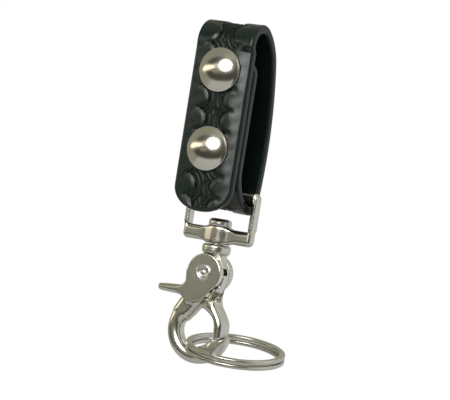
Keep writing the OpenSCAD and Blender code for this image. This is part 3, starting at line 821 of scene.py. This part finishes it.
# margin and band are counted in steps; relax smooths the grid's steps away and then
# puts back the little that smoothing takes
cast = {"step": 0.16, "margin": 5, "band": 3, "relax": (0.5, -0.53), "rounds": 4}


def castGrid(low, high):
    step, margin = cast["step"], cast["margin"] * cast["step"]
    axes = [np.arange(a - margin, b + margin, step) for a, b in zip(low, high)]
    return (*np.ix_(*axes), np.array([axis[0] for axis in axes]))


def common(*fields):
    # what lies in all of them, with sharp edges
    held = fields[0]
    for field in fields[1:]:
        held = np.maximum(held, field)
    return held


def meet(a, b, edge):
    # what lies in both, with a rounded edge
    a, b = a + edge, b + edge
    return np.minimum(np.maximum(a, b), 0) + np.hypot(np.maximum(a, 0), np.maximum(b, 0)) - edge


def merge(a, b, fillet):
    # both together, with a fillet where they meet
    near = np.maximum(fillet - np.abs(a - b), 0) / fillet
    return np.minimum(a, b) - near * near * fillet / 4


def between(value, low, high):
    return np.abs(value - (low + high) / 2) - (high - low) / 2


def slab(flat, y, front, rear, edge):
    return meet(flat, between(y, front, rear), edge)


def lineField(points, x, z):
    # distance to an open line
    best = 1e9
    for (ax, az), (bx, bz) in zip(points, points[1:]):
        ex, ez = bx - ax, bz - az
        share = np.clip(((x - ax) * ex + (z - az) * ez) / (ex * ex + ez * ez), 0, 1)
        best = np.minimum(best, np.hypot(x - ax - share * ex, z - az - share * ez))
    return best


def outlineField(points, x, z):
    # signed distance to a closed outline
    points = points + points[:1]
    inside = False
    for (ax, az), (bx, bz) in zip(points, points[1:]):
        if az != bz:
            cross = ax + (z - az) * (bx - ax) / (bz - az)
            inside = np.logical_xor(inside, ((az > z) != (bz > z)) & (x < cross))
    best = lineField(points, x, z)
    return np.where(inside, -best, best)


def aboutPivot(shares):
    # outline points, given from the pivot in shares of the hook's width and height
    return [(pivotX + s[0] * hook["width"], pivotZ + s[1] * hook["height"]) for s in shares]


def curveAt(a, b, c, d, t):
    return (2 * b + (c - a) * t + (2 * a - 5 * b + 4 * c - d) * t ** 2
            + (3 * b - a - 3 * c + d) * t ** 3) / 2


def curvePoints(shares, steps, closed=False):
    # a smooth curve through outline points
    points, path = aboutPivot(shares), []
    count = len(points)
    for i in range(count if closed else count - 1):
        pick = [i - 1, i, i + 1, i + 2]
        if closed:
            near = [points[k % count] for k in pick]
        else:
            near = [points[min(max(k, 0), count - 1)] for k in pick]
        for k in range(steps):
            path.append(tuple(curveAt(*axis, k / steps) for axis in zip(*near)))
    return path if closed else path + [tuple(points[-1])]


def castPiece(name, field, origin, body, node):
    step, band = cast["step"], cast["band"] * cast["step"]
    grid = vdb.FloatGrid(band)
    grid.copyFromArray(np.clip(field, -band, band).astype(np.float32))
    points, quads = grid.convertToQuads(0.0)
    piece = addPiece(name, ((points * step + origin) * mm).tolist(), quads.tolist(), metals["castNickel"])
    flipOutward(piece)
    for factor in cast["relax"] * cast["rounds"]:
        relax = piece.modifiers.new("relax", "SMOOTH")
        relax.factor = factor
        relax.iterations = 1
    shown = piece.evaluated_get(bpy.context.evaluated_depsgraph_get())
    mesh = bpy.data.meshes.new_from_object(shown)
    piece.modifiers.clear()
    piece.data = mesh
    mesh.name = name
    smoothFaces(mesh)
    takePlace(piece, body, node)


# room is half the depth that the eye's grid covers
eyeForm = {
    "room": 4.2, "corner": 1.8, "windowCorner": 0.6, "edge": 0.7, "lowEdge": 1.8,
    "lowFade": (-0.6, 1.2), "besideBarrel": (4.5, 8), "barInto": 0.5, "barFillet": 0.8,
    "barrelEdge": 0.35, "barrelFillet": 2.4, "boreEdge": 0.15,
}


def makeEye():
    form = eyeForm
    x, y, z, origin = castGrid(
        (-eyeWide / 2, middleY - form["room"], barrelLow), (eyeWide / 2, middleY + form["room"], eyeTop))
    front, rear = middleY - eye["depth"] / 2, middleY + eye["depth"] / 2
    outer = meet(np.abs(x) - eyeWide / 2, between(z, eyeLow, eyeTop), form["corner"])
    inWide = eyeWide / 2 - eye["arm"]
    within = between(z, windowLow, windowLow + 2 * eye["window"])
    hole = meet(np.abs(x) - inWide, within, form["windowCorner"])
    # the bar under the window is rounder than the arms, except beside the barrel
    lowShare = 1 - softStep(windowLow + form["lowFade"][0], windowLow + form["lowFade"][1], z)
    lowShare = lowShare * softStep(*form["besideBarrel"], np.abs(x))
    edge = form["edge"] + (form["lowEdge"] - form["edge"]) * lowShare
    body = slab(common(outer, -hole), y, front, rear, edge)
    bar = meet(between(y, front, rear), np.abs(z - barZ) - eye["topBar"] / 2, barRound)
    body = merge(body, common(bar, np.abs(x) - inWide - form["barInto"]), form["barFillet"])
    around = np.hypot(x, y - middleY)
    barrel = meet(around - eye["barrel"] / 2, between(z, barrelLow, barrelTop), form["barrelEdge"])
    body = common(merge(body, barrel, form["barrelFillet"]), barrelLow - z)
    body = meet(body, swivel["shank"] / 2 + swivel["run"] - around, form["boreEdge"])
    castPiece("swivelEye", body, origin, "eye", "swivel_eye")


# the lower edge of the front plate, which the fixed half makes room for
plateFoot = [
    (-0.279, 0), (-0.277, -0.12), (-0.27, -0.2), (-0.262, -0.28), (-0.245, -0.35), (-0.155, -0.352),
    (-0.077, -0.325), (0.017, -0.297), (0.076, -0.263), (0.155, -0.177), (0.204, -0.106), (0.24, 0)]
leverForm = {
    "tab": [
        (-0.22, -0.16), (-0.35, -0.174), (-0.5, -0.18), (-0.685, -0.193), (-0.722, -0.206),
        (-0.728, -0.232), (-0.71, -0.26), (-0.66, -0.272), (-0.5, -0.276), (-0.36, -0.28), (-0.22, -0.285)],
    "web": [
        (-0.2, -0.15), (0.03, -0.26), (-0.035, -0.36), (-0.13, -0.44), (-0.2, -0.5), (-0.27, -0.545),
        (-0.44, -0.46), (-0.42, -0.385), (-0.36, -0.3), (-0.28, -0.23)],
    "shank": [(-0.267, -0.405), (-0.225, -0.34), (-0.17, -0.27), (-0.13, -0.22)],
    "plateEdge": 0.4, "tabEdge": 1.35, "tabFade": (-3.4, -0.5), "footFillet": 0.8, "tabFillet": 2.4,
    "jawEdge": 2.39, "jawTurn": (128, 355), "swell": 1.2, "swellUp": (258, 286), "swellDown": (332, 352),
    "shankFillet": 0.8, "webFillet": 2.6, "cornerEdge": 0.5, "roomEdge": 0.2, "plateFillet": 1,
    "boreEdge": 0.1,
}


def makeLever():
    form = leverForm
    jawFront, jawRear = middleY - hook["jawDepth"] / 2, middleY + hook["jawDepth"] / 2
    x, y, z, origin = castGrid(
        (pivotX - discR - hook["tab"], hookFront, pivotZ - hook["height"]),
        (pivotX + hook["width"] / 2, jawRear, pivotZ + discR))
    away = np.hypot(x - pivotX, z - pivotZ)
    # front plate and thumb tab in one outline; the tab is deeper and rounder
    foot = outlineField(aboutPivot(plateFoot), x, z)
    tab = outlineField(curvePoints(form["tab"], 3, True), x, z)
    flat = merge(merge(away - discR, foot, form["footFillet"]), tab, form["tabFillet"])
    discLeft = pivotX - discR
    tabShare = 1 - softStep(discLeft + form["tabFade"][0], discLeft + form["tabFade"][1], x)
    rear = plateRear + (hook["tabDepth"] - hook["plate"]) * tabShare
    edge = form["plateEdge"] + (form["tabEdge"] - form["plateEdge"]) * tabShare
    plate = slab(flat, y, hookFront, rear, edge)
    # the bar of the jaw is thicker inside at the bottom, past the place where the ring lies
    turned = np.degrees(np.arctan2(z - jawZ, x - jawX)) % 360
    swell = form["swell"] * softStep(*form["swellUp"], turned) * (1 - softStep(*form["swellDown"], turned))
    reach = np.hypot(x - jawX, z - jawZ)
    inner, outer = jawRadius - halfBar - swell, jawRadius + halfBar
    beyond = 2 * hook["width"]
    sector = [(jawX, jawZ)] + [
        (jawX + beyond * math.cos(a), jawZ + beyond * math.sin(a))
        for a in np.radians(np.linspace(*form["jawTurn"], 24))]
    bar = common(between(reach, inner, outer), outlineField(sector, x, z))
    shank = lineField(curvePoints(form["shank"], 4), x, z) - halfBar
    web = outlineField(curvePoints(form["web"], 4, True), x, z)
    bar = merge(merge(bar, shank, form["shankFillet"]), web, form["webFillet"])
    jaw = slab(bar, y, jawFront, jawRear, form["jawEdge"])
    corner = common(away - partRadius, pivotX - x, z - pivotZ)
    jaw = meet(jaw, -corner, form["cornerEdge"])
    room = common(away - discR - hook["gap"], plateRear - y)
    jaw = meet(jaw, -room, form["roomEdge"])
    body = common(merge(plate, jaw, form["plateFillet"]), -room)
    body = meet(body, hook["rivet"] / 2 + swivel["run"] - away, form["boreEdge"])
    castPiece("leverJaw", body, origin, "lever", "lever_jaw")


# neck is a share of the collar, neckLow and slotHigh are shares of the disc, slotHalf one of the wire
bodyForm = {
    "clawInner": [
        (0.03, -0.06), (0.05, -0.265), (0, -0.375), (0.07, -0.405), (0.185, -0.465), (0.238, -0.54),
        (0.252, -0.64), (0.252, -0.8)],
    "clawOuter": [
        (0.412, -0.8), (0.412, -0.6), (0.395, -0.505), (0.32, -0.41), (0.25, -0.335), (0.225, -0.255),
        (0.23, -0.15), (0.2, -0.06)],
    "middle": [
        (0.04, 0), (0.05, -0.27), (0.01, -0.33), (0.072, -0.318), (0.185, -0.226), (0.255, -0.12),
        (0.272, 0)],
    "recess": [
        (0.045, -0.325), (0.09, -0.25), (0.2, -0.19), (0.225, -0.2), (0.195, -0.28), (0.11, -0.345)],
    "recessRear": 3.6, "recessEdge": 0.15, "neck": 0.82, "neckLow": 0.75, "neckInto": 0.5,
    "neckFillet": 1, "collarEdge": 1.1, "collarFillet": 0.5, "discEdge": 0.5, "clawEdge": 2.2,
    "clawFillet": 0.8, "partEdge": 0.6, "middleEdge": 0.3, "middleInto": 0.5, "hollow": 11.2,
    "lineY": 5.2, "lineHalf": 0.2, "lineDeep": 0.5, "lineReach": 10, "lineEdge": 0.12,
    "upperWide": 1, "roomEdge": 0.25, "slotHigh": 0.15, "slotHalf": 2, "slotEdge": 0.12,
}


def makeHookBody():
    form, collar = bodyForm, swivel["collar"] / 2
    x, y, z, origin = castGrid(
        (pivotX - discR, middleY - collar, pivotZ - hook["height"]),
        (pivotX + hook["width"] / 2, max(hookRear, middleY + collar), collarTop))
    away = np.hypot(x - pivotX, z - pivotZ)
    around = np.hypot(x, y - middleY)
    neckLow = pivotZ + form["neckLow"] * discR
    ring = meet(around - collar, between(z, collarLow, collarTop), form["collarEdge"])
    neck = common(around - form["neck"] * collar, neckLow - z, z - collarTop + form["neckInto"])
    disc = slab(away - discR, y, bodyFront, hookRear, form["discEdge"])
    outline = curvePoints(form["clawInner"], 4) + curvePoints(form["clawOuter"], 4)
    clawFront, clawRear = middleY - hook["clawDepth"] / 2, middleY + hook["clawDepth"] / 2
    claw = slab(outlineField(outline, x, z), y, clawFront, clawRear, form["clawEdge"])
    claw = meet(claw, away - partRadius + hook["gap"], form["partEdge"])
    # the claw starts behind the middle of the body, which ends in a small recess
    middle = outlineField(curvePoints(form["middle"], 3, True), x, z)
    hollow = common(away - form["hollow"], -middle, y - form["lineY"])
    claw = meet(claw, -hollow, form["middleEdge"])
    middle = slab(middle, y, bodyFront, form["lineY"] + form["middleInto"], form["middleEdge"])
    body = merge(merge(disc, middle, form["middleEdge"]), claw, form["clawFillet"])
    recess = outlineField(aboutPivot(form["recess"]), x, z)
    body = meet(body, -common(recess, y - form["recessRear"]), form["recessEdge"])
    # a line all round between the middle and the rear plate
    line = common(
        np.abs(y - form["lineY"]) - form["lineHalf"], -body - form["lineDeep"], away - form["lineReach"])
    body = meet(body, -line, form["lineEdge"])
    body = merge(merge(body, neck, form["neckFillet"]), ring, form["collarFillet"])
    # room for the front plate's disc and foot, and up to the collar
    foot = outlineField(aboutPivot(plateFoot), x, z) - hook["gap"]
    upper = common(np.abs(x - pivotX) - discR - form["upperWide"], between(z, pivotZ, collarLow))
    room = np.minimum(np.minimum(away - discR - hook["gap"], foot), upper)
    body = meet(body, -common(room, y - bodyFront), form["roomEdge"])
    # the spring's pocket and its slot to the right
    behind = y - bodyFront - pocketDeep
    pocket = common(away - hook["pocketShare"] * discR, behind)
    slotZ = pivotZ + form["slotHigh"] * discR
    slot = common(np.abs(z - slotZ) - form["slotHalf"] * hook["wire"], pivotX - x, behind, bodyFront - y)
    body = meet(body, -np.minimum(pocket, slot), form["slotEdge"])
    shank = common(around - swivel["shank"] / 2, collarLow - z)
    body = common(body, hook["rivet"] / 2 - away, -shank)
    castPiece("hookBody", body, origin, "hook", "hook_body")


makeEye()
makeLever()
makeHookBody()
print("the cast pieces are ready")


# Wire pieces

def sweepRings(name, rings, material):
    points = [tuple(Vector(p) * mm) for ring in rings for p in ring]
    return flipOutward(addPiece(name, points, ringFaces(len(rings), len(rings[0])), material))


coil = {"steps": 64, "sides": 12}


def makeSpring():
    radius = (hook["pocketShare"] * discR + hook["rivet"] / 2) / 2
    back = bodyFront + pocketDeep - hook["wire"] / 2 - hook["plateGap"]
    rings = []
    for i in range(int(coil["steps"] * hook["turns"]) + 1):
        a = 2 * math.pi * i / coil["steps"]
        ring = []
        for s in range(coil["sides"]):
            b = 2 * math.pi * s / coil["sides"]
            r = radius + hook["wire"] / 2 * math.cos(b)
            along = coilStep * i / coil["steps"] + hook["wire"] / 2 * math.sin(b)
            ring.append((pivotX + r * math.cos(a), back - along, pivotZ + r * math.sin(a)))
        rings.append(ring)
    piece = sweepRings("torsionSpring", rings, metals["springSteel"])
    takePlace(piece, "hook", "torsion_spring")


# the wire climbs to its second turn between the two shares of climb
splitRing = {
    "across": 36, "wide": 2.3, "high": 1.5, "gap": 0.45, "lean": 10, "fall": 4.5, "yaw": 6,
    "restAngle": 243, "restGap": 0.5, "turns": 1.95, "climb": (0.95, 0.995), "start": 144,
    "steps": 200, "ease": 0.45, "easeSteps": 4, "pinch": 0.22, "pinchSteps": 4,
}


def ringSection():
    halfWire, halfHigh, ease = splitRing["wide"] / 2, splitRing["high"] / 2, splitRing["ease"]
    section = []
    for cx, cz, start in ((1, 1, 0), (-1, 1, 90), (-1, -1, 180), (1, -1, 270)):
        for k in range(splitRing["easeSteps"] + 1):
            a = math.radians(start + 90 * k / splitRing["easeSteps"])
            section.append((
                cx * (halfWire - ease) + ease * math.cos(a), cz * (halfHigh - ease) + ease * math.sin(a)))
    return section


def makeRing():
    radius = (splitRing["across"] - splitRing["wide"]) / 2
    stack = splitRing["high"] + splitRing["gap"]
    reach = math.hypot(splitRing["wide"] / 2, splitRing["high"] + splitRing["gap"] / 2)
    rest = jawRadius - halfBar - reach - splitRing["restGap"] * hook["gap"]
    angle = math.radians(splitRing["restAngle"])
    place = Vector((jawX + rest * math.cos(angle), middleY, jawZ + rest * math.sin(angle)))
    fall, lean, yaw, start = (
        Matrix.Rotation(math.radians(splitRing[name]), 4, axis)
        for name, axis in (("fall", "Y"), ("lean", "X"), ("yaw", "Z"), ("start", "Z")))
    turn = fall @ lean @ yaw @ Matrix.Translation((radius, 0, 0)) @ start
    section = ringSection()
    low, high = splitRing["climb"]
    rings = []
    count = int(splitRing["turns"] * splitRing["steps"])
    for i in range(count + 1):
        walked = i / splitRing["steps"]
        a = 2 * math.pi * walked
        lift = stack * min(1, max(0, (walked - low) / (high - low))) - stack / 2
        # the cut ends are a little rounded
        near = min(i, count - i) / splitRing["pinchSteps"]
        pinch = 1 - splitRing["pinch"] * max(0, 1 - near) ** 2
        ring = []
        for p, q in section:
            r = radius + p * pinch
            ring.append(place + turn @ Vector((r * math.cos(a), r * math.sin(a), lift + q * pinch)))
        rings.append(ring)
    piece = sweepRings("splitRing", rings, metals["ringSteel"])
    takePlace(piece, "ring", "split_ring")


makeSpring()
makeRing()

# the snaps' inner halves stay as they come from the CAD, and only get their finish
for name in ("socket", "stud", "eyelet", "socket_spring"):
    for label in snap["places"]:
        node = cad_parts[name + "_" + label]
        node.data.materials.clear()
        node.data.materials.append(metals["springSteel" if name == "socket_spring" else "snapSteel"])
print("the wire pieces and the snaps' inner halves are ready")
